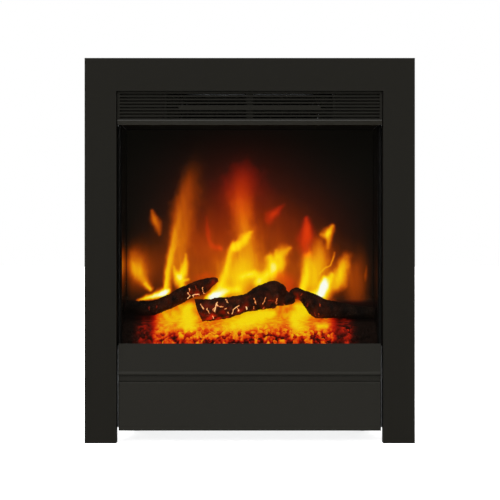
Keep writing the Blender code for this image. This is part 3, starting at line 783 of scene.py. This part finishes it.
def ember_glow(x, z, rough):
    """Heat, redness and share of flame in the ember bank, at x and z in millimetres.

    rough, from -1 to 1, is the pattern of its lumps.
    """
    alive = smoothstep(x, -176, -140) * smoothstep(-x, -158, -122)
    low = smoothstep(-z, -178, -156)
    drift = cloud_noise(x / 34, z / 16, 21)
    masses = picture_field(x, z, EMBER_LICKS, 90) * (1 - 0.24 * low)
    bed = 0.71 + (0.08 + 0.26 * low) * rough + 0.10 * drift - 0.27 * low
    bed = np.clip(bed, 0.1, 0.9) * alive
    embers = (masses**4 + bed**4) ** 0.25 * (0.4 + 0.6 * alive)
    embers = np.minimum(embers, 0.97) * (1 - 0.36 * low * smoothstep(-rough, -0.1, 0.7))
    above, above_red = flame_fields(x, z)
    share = smoothstep(z, 208, 220)
    heat = embers * (1 - share) + np.maximum(above, 0.45 * alive) * share
    edge = smoothstep(x, -188, -158) * smoothstep(-x, -174, -146)
    red = (0.58 - 0.30 * alive) * (1 - alive) * edge * smoothstep(-z, -200, -176) * (0.7 + 0.6 * rough)
    return heat, np.maximum(red, above_red * share), share


def store_glow(mesh, heat, red, share):
    store(mesh, "flame_heat", heat)
    store(mesh, "flame_red", red)
    store(mesh, "flame_share", share)


def lump_noise(points, size, seed):
    offset = Vector((seed, seed * 2, -seed))
    return np.array([noise.noise(Vector(p) / size + offset) for p in points])


def build_embers():
    low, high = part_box("ember_bed")
    columns, rows = 340, 84
    xs = np.linspace(low.x, high.x, columns)
    ys = np.linspace(BANK_FRONT, BANK_BACK, rows)
    gx, gy = np.meshgrid(xs, ys)
    x, y = gx.ravel(), gy.ravel()
    z = bank_height(y)
    flat = np.column_stack([x, y * 1.2, z])
    coarse = lump_noise(flat, 7.5 * mm, 3.1)
    fine = lump_noise(flat, 3.2 * mm, 9.4)
    # The front is rugged, and the shelf under the logs is nearly smooth.
    rugged = np.clip((186 * mm - z) / (20 * mm), 0.12, 1)
    z = z + rugged * (4.0 * mm * coarse + 1.2 * mm * fine)
    y = y - rugged * 2.0 * mm * coarse
    verts = [tuple(map(float, p)) for p in zip(x, y, z)]
    faces = grid_faces(columns, rows)
    mesh = bpy.data.meshes.new("ember_bank")
    mesh.from_pydata(verts, [], faces)
    store_glow(mesh, *ember_glow(x / mm, z / mm, np.clip(1.9 * coarse + 0.9 * fine, -1, 1)))
    bank = add_piece("ember_bank", mesh, EMBER, ["ember_bed"])
    shell = bank.modifiers.new("shell", "SOLIDIFY")
    shell.thickness = 1.6 * mm
    shell.offset = -1.0

    build_coals()


def build_coals():
    """Loose lumps of ember on the steep front of the bank."""
    rng = np.random.default_rng(7)
    shape = bmesh.new()
    places, tones = [], []
    for number in range(COALS):
        x = rng.uniform(-194, 194) * mm
        y = rng.uniform(-53, -34) * mm
        size = rng.uniform(2.6, 5.0) * mm
        z = float(bank_height(np.array(y))) - rng.uniform(0.45, 0.9) * size
        made = bmesh.ops.create_icosphere(shape, subdivisions=3, radius=1.0)
        stretch = Vector(rng.uniform(0.75, 1.3, 3))
        spin = Matrix.Rotation(rng.uniform(0, 2 * pi), 3, Vector(rng.normal(size=3)).normalized())
        tone = rng.uniform(-0.9, 0.7)
        for vert in made["verts"]:
            p = vert.co.copy()
            dent = 1 + 0.3 * noise.noise(p * 1.5 + Vector((number, 0, 0)))
            p = Vector((p.x * stretch.x, p.y * stretch.y, p.z * stretch.z)) * dent
            vert.co = Vector((x, y, z)) + spin @ p * size
            places.append((vert.co.x / mm, vert.co.z / mm))
            tones.append(tone + 0.7 * noise.noise(p * 1.1 + Vector((0, number, 0))))
    mesh = mesh_of("ember_coals", shape)
    places = np.array(places)
    store_glow(mesh, *ember_glow(places[:, 0], places[:, 1], np.clip(np.array(tones), -1, 1)))
    add_piece("ember_coals", mesh, EMBER)


# -------- logs

# Stations along each log: x, y, z and radius in millimetres.
LOG_PATHS = {
    "log_left": [
        (-198, -6, 208, 10.5), (-176, -6, 205.5, 12), (-155, -6, 206.5, 12), (-132, -6, 214.5, 11.5),
        (-105, -6, 228, 12), (-88, -6, 236, 12), (-74, -6, 241, 12), (-63, -6, 246.5, 8.5),
        (-55, -6, 250, 5.5), (-51, -6, 251, 3.5),
    ],
    "log_centre": [
        (-81, -29, 203, 18), (-60, -29, 204, 17.5), (-38, -29, 207, 16.5), (-18, -29, 211.5, 15.5),
        (2, -29, 216.5, 15), (14, -29, 221.5, 17.5), (26, -29, 225.5, 20), (38, -29, 228, 21),
        (47, -29, 226.5, 19), (54, -30, 223.5, 13), (61, -30, 222, 10), (70, -30, 224, 8),
    ],
    "log_right": [
        (66, -8, 224.5, 7.5), (74, -8, 229, 10.5), (82, -8, 226.5, 9.5), (90, -9, 222, 11),
        (99, -11, 214.5, 14.5), (110, -12, 206.5, 16.5), (125, -12, 204, 15), (145, -12, 201.5, 13),
        (168, -12, 199.5, 11), (198, -12, 197.5, 9),
    ],
}
# Glowing cracks on the front of each log: brightness, then the places a crack runs through, as x and z.
LOG_CRACKS = {
    "log_left": [
        (0.75, [(-97, 237), (-95, 232)]), (0.95, [(-99.5, 230), (-95, 225.5), (-98.5, 221)]),
        (0.95, [(-91.5, 225.5), (-86, 228), (-81, 227), (-79.5, 222.5)]),
        (0.9, [(-90.5, 225.5), (-87, 220)]), (0.8, [(-75.5, 238.5), (-75, 233), (-72.5, 228)]),
        (0.42, [(-87, 241.5), (-84.5, 236)]), (0.34, [(-161, 208), (-159.5, 203)]),
        (0.34, [(-147.5, 210.5), (-149, 206)]),
    ],
    "log_centre": [
        (0.95, [(-77, 213.5), (-74.5, 208.5), (-72.5, 206)]),
        (0.9, [(-66.5, 207), (-66, 203.5), (-63, 199)]),
        (0.95, [(-51.5, 216.5), (-53.5, 209), (-55, 202)]),
        (0.85, [(-53.5, 209), (-58, 205), (-54.5, 201)]),
        (0.85, [(-51.5, 212), (-48, 210), (-42, 209)]), (0.85, [(-38.5, 220.5), (-34.5, 215.5)]),
        (0.9, [(-58, 195), (-56.5, 190.5)]), (0.8, [(-39, 206), (-36, 207)]),
        (0.8, [(-34.5, 200.5), (-33, 197.5)]),
        (0.9, [(-27, 198), (-26, 204.5), (-21.5, 208.5), (-17, 211)]),
        (0.85, [(-20.5, 208), (-17, 202.5)]), (1.0, [(-5.5, 209.5), (-4.5, 204.5)]),
        (0.7, [(7, 223), (9, 216.5), (10, 213.5)]), (0.7, [(6, 209.5), (7.5, 205.5)]),
        (0.72, [(24.5, 224), (22.5, 218), (20.5, 213.5)]), (0.6, [(22.5, 207.5), (21, 205)]),
        (0.6, [(42.5, 222.5), (41, 216.5), (42.5, 213)]), (0.5, [(43, 210), (43, 206)]),
        (0.6, [(54, 213.5), (55, 209)]), (0.34, [(29, 219.5), (37, 219)]),
    ],
    "log_right": [
        (0.42, [(111, 214), (111.5, 209)]), (0.45, [(103, 198), (104, 194)]),
        (0.45, [(109, 198), (110, 193)]), (0.4, [(81, 226), (83, 229)]),
        (0.36, [(92, 214), (91, 209)]),
    ],
}
# Painted firelight: where the fire's red light is painted on each log: place along x, spread and strength.
LOG_PAINTED_FIRELIGHT = {
    "log_left": [(-86, 22, 0.9), (-56, 12, 1.3), (-125, 28, 0.5)],
    "log_centre": [(-60, 34, 1.15), (-15, 34, 0.85), (30, 40, 0.65)],
    "log_right": [(76, 16, 0.8), (108, 28, 0.5)],
}
# How far the first end of a log is cut out of square, and how far along the cut is felt.
LOG_SLANT = {"log_centre": -0.32}
SLANT_REACH = 20
LOG_AROUND = 100
LOG_SPACING = 0.9
# Far-apart places in the noise, one for each direction that the cracks are pushed in.
WARP_PLACES = (Vector((0, 0, 0)), Vector((31.4, 17.2, 5.6)), Vector((-12.7, 43.9, 29.3)))


def crack_pattern(point, seed):
    """(how near a crack, 0 to 1, and the block's own level) of charred bark at a point."""
    place = Vector((point.x / 7.0, point.y / 10.0, point.z / 11.0)) + Vector((seed, seed, 0))
    warp = Vector([noise.noise(place * 0.9 + far) for far in WARP_PLACES]) * 0.3
    distances, corners = noise.voronoi(place + warp)
    edge = distances[1] - distances[0]
    return max(0.0, 1 - edge / 0.20), noise.noise(corners[0] * 3.3)


def crack_light(x, z, cracks):
    """Light of the glowing cracks at x and z: full along the middle of a crack, and fading across it."""
    light = np.zeros_like(x)
    for power, run in cracks:
        for (x0, z0), (x1, z1) in zip(run, run[1:]):
            dx, dz = x1 - x0, z1 - z0
            share = np.clip(((x - x0) * dx + (z - z0) * dz) / (dx * dx + dz * dz), 0, 1)
            away = np.hypot(x - x0 - share * dx, z - z0 - share * dz)
            light = np.maximum(light, power * np.clip(1.35 - away / 0.75, 0, 1))
    return light


def log_surface(name, path, seed):
    """Centres, outward directions, heights, nearness to cracks and painted firelight of every point on a log.
    """
    centres, outs, heights, nears, painted_firelights = [], [], [], [], []
    last = len(path) - 1
    for i, (x, y, z, radius) in enumerate(path):
        ahead = path[min(last, i + 1)] - path[max(0, i - 1)]
        tangent = Vector(ahead[:3]).normalized()
        side = tangent.cross(Z_AXIS).normalized()
        up = side.cross(tangent).normalized()
        # Painted firelight: how strongly the fire's red light is painted on the log near this station.
        spot = max(power * exp(-(((x - sx) / spread) ** 2)) for sx, spread, power in LOG_PAINTED_FIRELIGHT[name])
        cut = LOG_SLANT.get(name, 0) * max(0.0, 1 - i * LOG_SPACING / SLANT_REACH)
        centre = Vector((x, y, z))
        for j in range(LOG_AROUND):
            turn = 2 * pi * j / LOG_AROUND
            out = side * cos(turn) + up * sin(turn)
            base = centre + out * radius
            lumps = noise.noise(base / 22 + Vector((seed, 0, 0))) * 0.14
            lumps += noise.noise(base / 8 + Vector((0, seed, 0))) * 0.06
            near, level = crack_pattern(base, seed)
            # Painted firelight: patches of the fire's red light, with more of it on the underside, which
            # faces the embers.
            firelight_patches = 0.5 + 0.8 * noise.noise(base / 9 + Vector((0, 0, seed * 5)))
            under = 0.5 - 0.5 * out.z
            centres.append(centre)
            outs.append(out + Vector((cut * out.z, 0, 0)))
            heights.append(radius * (1 + lumps) - 1.3 * near**1.5 + 0.5 * level)
            nears.append(near)
            painted_firelights.append(max(0.0, min(1.0, spot * (0.05 + 0.85 * firelight_patches) * (0.32 + 1.05 * under))))
    return np.array(centres), np.array(outs), np.array(heights), np.array(nears), painted_firelights


def close_end(verts, faces, centre, radius, start, sign):
    """Fills the end of a log, whose rim starts at start, with ever smaller uneven loops.

    sign is -1 for the first end and 1 for the last.
    """
    previous = list(range(start, start + LOG_AROUND))
    for share in (0.8, 0.55, 0.3):
        loop = []
        for j in range(start, start + LOG_AROUND):
            point = centre + (verts[j] / mm - centre) * share
            point.x += sign * (1 - share) * radius * 0.12 + 0.5 * noise.noise(point / 2.5)
            loop.append(len(verts))
            verts.append(point * mm)
        faces += [face[::sign] for face in band_faces(previous, loop)]
        previous = loop
    faces.append(tuple(previous[::sign]))


def build_log(name, stations, seed):
    path = smooth_path(stations, 3, LOG_SPACING)
    centres, outs, heights, nears, painted_firelights = log_surface(name, path, seed)
    places = centres + outs * heights[:, None]
    sway = np.array([noise.noise(Vector(p) / 3.5) for p in places])
    light = crack_light(places[:, 0] + 1.5 * sway, places[:, 2] + 0.9 * sway, LOG_CRACKS[name])
    light = light * (outs[:, 1] < 0.1)
    # Cracks get a faint glow where firelight is painted on the bark.
    lights = np.maximum(light, 0.26 * nears * np.array(painted_firelights)).tolist()
    places = centres + outs * (heights - 0.7 * light)[:, None]
    verts = [Vector(p) * mm for p in places]
    loops = [range(i * LOG_AROUND, (i + 1) * LOG_AROUND) for i in range(len(path))]
    faces = [face for lower, upper in zip(loops, loops[1:]) for face in band_faces(lower, upper)]
    for ring, sign in ((0, -1), (len(path) - 1, 1)):
        start, skin = ring * LOG_AROUND, len(verts)
        close_end(verts, faces, Vector(path[ring][:3]), path[ring][3], start, sign)
        added = len(verts) - skin
        lights += [0.0] * added
        # The ends take part of the painted firelight of their rim.
        painted_firelights += [0.6 * painted_firelights[start]] * added
    mesh = bpy.data.meshes.new(name)
    mesh.from_pydata([tuple(v) for v in verts], [], faces)
    store(mesh, "crack_light", lights)
    # The painted firelight on the bark.
    store(mesh, "painted_firelight", painted_firelights)
    shape = bmesh.new()
    shape.from_mesh(mesh)
    bmesh.ops.recalc_face_normals(shape, faces=shape.faces)
    shape.to_mesh(mesh)
    shape.free()
    add_piece(f"charred_{name}", mesh, BARK, [name])


def build_logs():
    for seed, (name, stations) in enumerate(LOG_PATHS.items(), 3):
        build_log(name, stations, seed)


# -------- fixings and pressings

# Rings of each small shape, as shares of its radius, edge first.
SCREW_RINGS = (1.0, 0.985, 0.94, 0.84, 0.7, 0.62, 0.58, 0.4, 0.2, 0.16, 0.05)
BEAD_RINGS = (1.0, 0.9, 0.78, 0.62, 0.45, 0.28, 0.1)
DIMPLE_RINGS = (1.0, 0.9, 0.8, 0.7, 0.6, 0.45, 0.2)
SHEET = 1.2 * mm
SCREW_RADIUS = 3.6 * mm
BEAD_RADIUS = 7 * mm
BEAD_STEPS = 32
RELIEF_ROOT = 0.3 * mm
# How far the top panel's front flange stands above its roof, and how far out a side panel is from it.
ROOF_FLANGE = 20 * mm
SIDE_STEP = 1.6 * mm


def relief(shape, start, end, normal, radius, rings, height_at, around=24):
    """A raised round-ended shape on a flat face, from start to end.

    rings are shares of the radius, edge first, and height_at gives the height over the face at each of them.
    """
    along = end - start if end != start else normal.orthogonal()
    along.normalize()
    across = normal.cross(along)
    loops = []
    for number, share in enumerate((rings[0], *rings)):
        loop = []
        for j in range(around):
            turn = 2 * pi * (j + 0.5) / around
            base = end if cos(turn) > 0 else start
            height = height_at(share, j) if number else -RELIEF_ROOT
            out = (along * cos(turn) + across * sin(turn)) * radius * share
            loop.append(shape.verts.new(base + out + normal * height))
        loops.append(loop)
    skin(shape, loops)


def screw_height(share, j):
    """Pan head with a cross recess: 24 steps round, four arms."""
    dome = 1.9 * mm * (1 - share**2) ** 0.5 if share < 1 else 0.2 * mm
    in_arm = share < 0.6 and j % 6 in (0, 5)
    return dome - (1.0 * mm if in_arm or share < 0.2 else 0.0)


def bead_height(share, _):
    return 2.3 * mm * cos(share * pi / 2) ** 1.2


def dimple_height(share, _):
    return -0.05 * mm + 0.25 * mm * exp(-(((share - 0.75) / 0.18) ** 2))


def screw(shape, spot, normal, radius=SCREW_RADIUS):
    relief(shape, spot, spot, normal, radius, SCREW_RINGS, screw_height)


def bead(shape, start, end, normal, radius=BEAD_RADIUS):
    relief(shape, start, end, normal, radius, BEAD_RINGS, bead_height, BEAD_STEPS)


def finish_relief(name, shape, material):
    """Makes one piece of everything in a bmesh."""
    bmesh.ops.recalc_face_normals(shape, faces=shape.faces)
    add_piece(name, mesh_of(name, shape), material)


def build_back_fixings():
    low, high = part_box("back_panel")
    face = high.y
    shape = bmesh.new()
    edge = 7 * mm
    rows = [low.z + edge, low.z + 0.34 * (high.z - low.z), low.z + 0.67 * (high.z - low.z), high.z - edge]
    places = [(side * (high.x - edge), z) for side in (-1, 1) for z in rows]
    places += [(x * mm, z) for x in (-95, 95) for z in (rows[0], rows[-1])]
    for x, z in places:
        screw(shape, Vector((x, face, z)), Y_AXIS)
    finish_relief("back_panel_screws", shape, STEEL)

    shape = bmesh.new()
    for column in (-1, 0, 1):
        x = column * 0.27 * (high.x - low.x)
        start, end = Vector((x, face, low.z + 60 * mm)), Vector((x, face, low.z + 400 * mm))
        bead(shape, start, end, Y_AXIS, 9 * mm)
    for z in (low.z + 32 * mm, low.z + 428 * mm):
        start, end = Vector((low.x + 40 * mm, face, z)), Vector((high.x - 40 * mm, face, z))
        bead(shape, start, end, Y_AXIS)
    finish_relief("back_panel_beads", shape, ZINC)


def build_rating_plate():
    """Blank aluminium plate, riveted low on the back."""
    low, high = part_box("back_panel")
    middle = Vector((low.x + 70 * mm, high.y, low.z + 14 * mm))
    half_width, half_height, corner, thick = 34 * mm, 8 * mm, 2.5 * mm, 0.5 * mm
    shape = bmesh.new()
    rim = []
    for quarter, (sx, sz) in enumerate(((1, 1), (-1, 1), (-1, -1), (1, -1))):
        for step in range(7):
            turn = (quarter + step / 6) * pi / 2
            x = sx * (half_width - corner) + corner * cos(turn)
            z = sz * (half_height - corner) + corner * sin(turn)
            rim.append((x, z))
    loops = []
    for out, shrink in ((0.05 * mm, 1.0), (0.7 * thick, 1.0), (thick, 0.985)):
        loops.append([shape.verts.new(middle + Vector((x * shrink, out, z * shrink))) for x, z in rim])
    skin(shape, loops)
    finish_relief("rating_plate", shape, LABEL)

    shape = bmesh.new()
    for side in (-1, 1):
        spot = middle + Vector((side * (half_width - 4 * mm), thick, 0))
        relief(shape, spot, spot, Y_AXIS, 1.8 * mm, BEAD_RINGS, bead_height)
    finish_relief("rating_plate_rivets", shape, STEEL)


def build_side_fixings():
    """Screws, pressed beads and the spot welds of the front flange, on both side panels."""
    for side, hand in ((-1, "left"), (1, "right")):
        low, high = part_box(f"side_panel_{hand}")
        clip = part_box(f"trim_clip_{hand}")
        face = side * (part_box("top_panel")[1].x + SIDE_STEP)
        normal = X_AXIS * side
        shape = bmesh.new()
        for share in (0.04, 0.28, 0.52, 0.76, 0.96):
            screw(shape, Vector((face, high.y - 9 * mm, low.z + share * (high.z - low.z))), normal)
        for y in (-20 * mm, 30 * mm):
            for z in (low.z + 5 * mm, high.z - 6 * mm):
                screw(shape, Vector((face, y, z)), normal, 3.0 * mm)
        finish_relief(f"side_screws_{hand}", shape, STEEL)

        shape = bmesh.new()
        for z in (low.z + 90 * mm, low.z + 445 * mm):
            start, end = Vector((face, low.y + 40 * mm, z)), Vector((face, high.y - 30 * mm, z))
            bead(shape, start, end, normal)
        finish_relief(f"side_beads_{hand}", shape, ZINC)

        shape = bmesh.new()
        middle = (clip[0] + clip[1]) / 2
        for step in range(9):
            z = low.z + (0.06 + 0.11 * step) * (high.z - low.z)
            if abs(z - middle.z) > 40 * mm:
                spot = Vector((side * (abs(face) + 12 * mm), low.y + SHEET, z))
                relief(shape, spot, spot, Y_AXIS, 2.6 * mm, DIMPLE_RINGS, dimple_height)
        finish_relief(f"flange_welds_{hand}", shape, ZINC)


def build_window_seals():
    """Black sealing strips down both sides of the glass, next to its supports."""
    glass_low, glass_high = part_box("front_glass")
    for side, hand in ((-1, "left"), (1, "right")):
        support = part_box(f"glass_support_{hand}")
        near = min(abs(support[0].x), abs(support[1].x))
        far = max(abs(support[0].x), abs(support[1].x))
        shape = bmesh.new()
        for inner, outer in ((near - 2.1 * mm, near - 0.2 * mm), (far + 0.2 * mm, far + 2.0 * mm)):
            seal_strip(shape, side, inner, outer, support[0].y, support[1].y, glass_low.z, glass_high.z)
        finish_relief(f"window_seals_{hand}", shape, SEAL)


def seal_strip(shape, side, inner, outer, front, back, foot, head):
    """An upright strip with a ribbed front, between two distances from the middle of the fire."""
    rib = 0.35 * mm
    section = [(inner, back), (inner, front + rib)]
    for step in range(1, 8):
        x = inner + (outer - inner) * step / 8
        section.append((x, front + (0.0 if step % 2 else rib)))
    section += [(outer, front + rib), (outer, back)]
    loops = [[shape.verts.new((side * x, y, z)) for x, y in section] for z in (foot + 4 * mm, head - 4 * mm)]
    skin(shape, loops)


def build_panel_fixings():
    low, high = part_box("control_panel")
    shape = bmesh.new()
    for x in (-185 * mm, -60 * mm, 185 * mm):
        screw(shape, Vector((x, low.y, (low.z + high.z) / 2)), -Y_AXIS, 3.2 * mm)
    finish_relief("control_panel_screws", shape, STEEL)

    low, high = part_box("top_panel")
    roof = high.z - ROOF_FLANGE
    shape = bmesh.new()
    for x in (-150 * mm, 150 * mm):
        for y in (-20 * mm, 50 * mm):
            screw(shape, Vector((x, y, roof)), Z_AXIS)
    finish_relief("top_panel_screws", shape, STEEL)

    shape = bmesh.new()
    for y in (0, 35 * mm):
        start, end = Vector((-110 * mm, y, roof)), Vector((110 * mm, y, roof))
        bead(shape, start, end, Z_AXIS)
    finish_relief("top_panel_beads", shape, ZINC)


# -------- stage

# The camera is straight in front of the fire and level with its middle.
EYE_SIDE = 0.4 * mm
EYE_HEIGHT = 298.5 * mm
EYE_DISTANCE = 1900 * mm
FRAME_WIDTH = 771.5 * mm
SENSOR_WIDTH = 36
# The room's light, from the front to the back, and a sun that is wide enough for soft shadows.
ROOM_IN_FRONT = (0.05, 0.05, 0.05, 1)
ROOM_BEHIND = (0.60, 0.60, 0.60, 1)
SUN_STRENGTH = 4.15
SUN_SPREAD = radians(80)
SUN_TILT = (radians(40), radians(-8), 0)
FLOOR_GLOW = 0.72


def build_camera():
    data = bpy.data.cameras.new("camera")
    data.sensor_width = SENSOR_WIDTH
    data.lens = SENSOR_WIDTH * EYE_DISTANCE / FRAME_WIDTH
    camera = add_object("camera", data)
    camera.location = (EYE_SIDE, FRONT - EYE_DISTANCE, EYE_HEIGHT)
    camera.rotation_euler = (pi / 2, 0, 0)
    bpy.context.scene.camera = camera


def build_floor():
    shape = bmesh.new()
    bmesh.ops.create_grid(shape, x_segments=4, y_segments=4, size=20.0)
    mesh = mesh_of("floor", shape)
    s = Shader("pale_floor")
    s.principled(
        Base_Color=(0.9, 0.9, 0.9, 1),
        Roughness=0.9,
        Specular_IOR_Level=0.1,
        Emission_Color=(1, 1, 1, 1),
        Emission_Strength=FLOOR_GLOW,
    )
    mesh.materials.append(s.material)
    floor = add_object("floor", mesh)
    floor.location.z = FOOT - 0.1 * mm
    floor.visible_glossy = False


def build_light():
    """A white surround, a broad soft light from above, and a room that is dim in front of the fire."""
    world = bpy.data.worlds.new("studio")
    bpy.context.scene.world = world
    w = Wiring(world, "World", "Generated")
    depth = w.node("SeparateXYZ", Vector=w.coordinates).outputs["Y"]
    lift = w.node("MapRange", Value=depth, From_Min=-1.0).outputs["Result"]
    room = w.ramp(lift, [(0.0, ROOM_IN_FRONT), (1.0, ROOM_BEHIND)])
    seen = w.node("Background", Color=(1, 1, 1, 1))
    w.blend(w.node("LightPath").outputs["Is Camera Ray"], w.node("Background", Color=room), seen)

    sun = bpy.data.lights.new("overhead", "SUN")
    sun.energy = SUN_STRENGTH
    sun.angle = SUN_SPREAD
    add_object("overhead", sun).rotation_euler = SUN_TILT

    view = bpy.context.scene.view_settings
    view.view_transform = "Standard"
    view.look = "None"
    view.exposure = 0.0
    view.gamma = 1.0


build_camera()
build_floor()
build_light()
dress_cad()
build_flame_picture()
build_embers()
build_logs()
build_back_fixings()
build_rating_plate()
build_side_fixings()
build_panel_fixings()
build_window_seals()
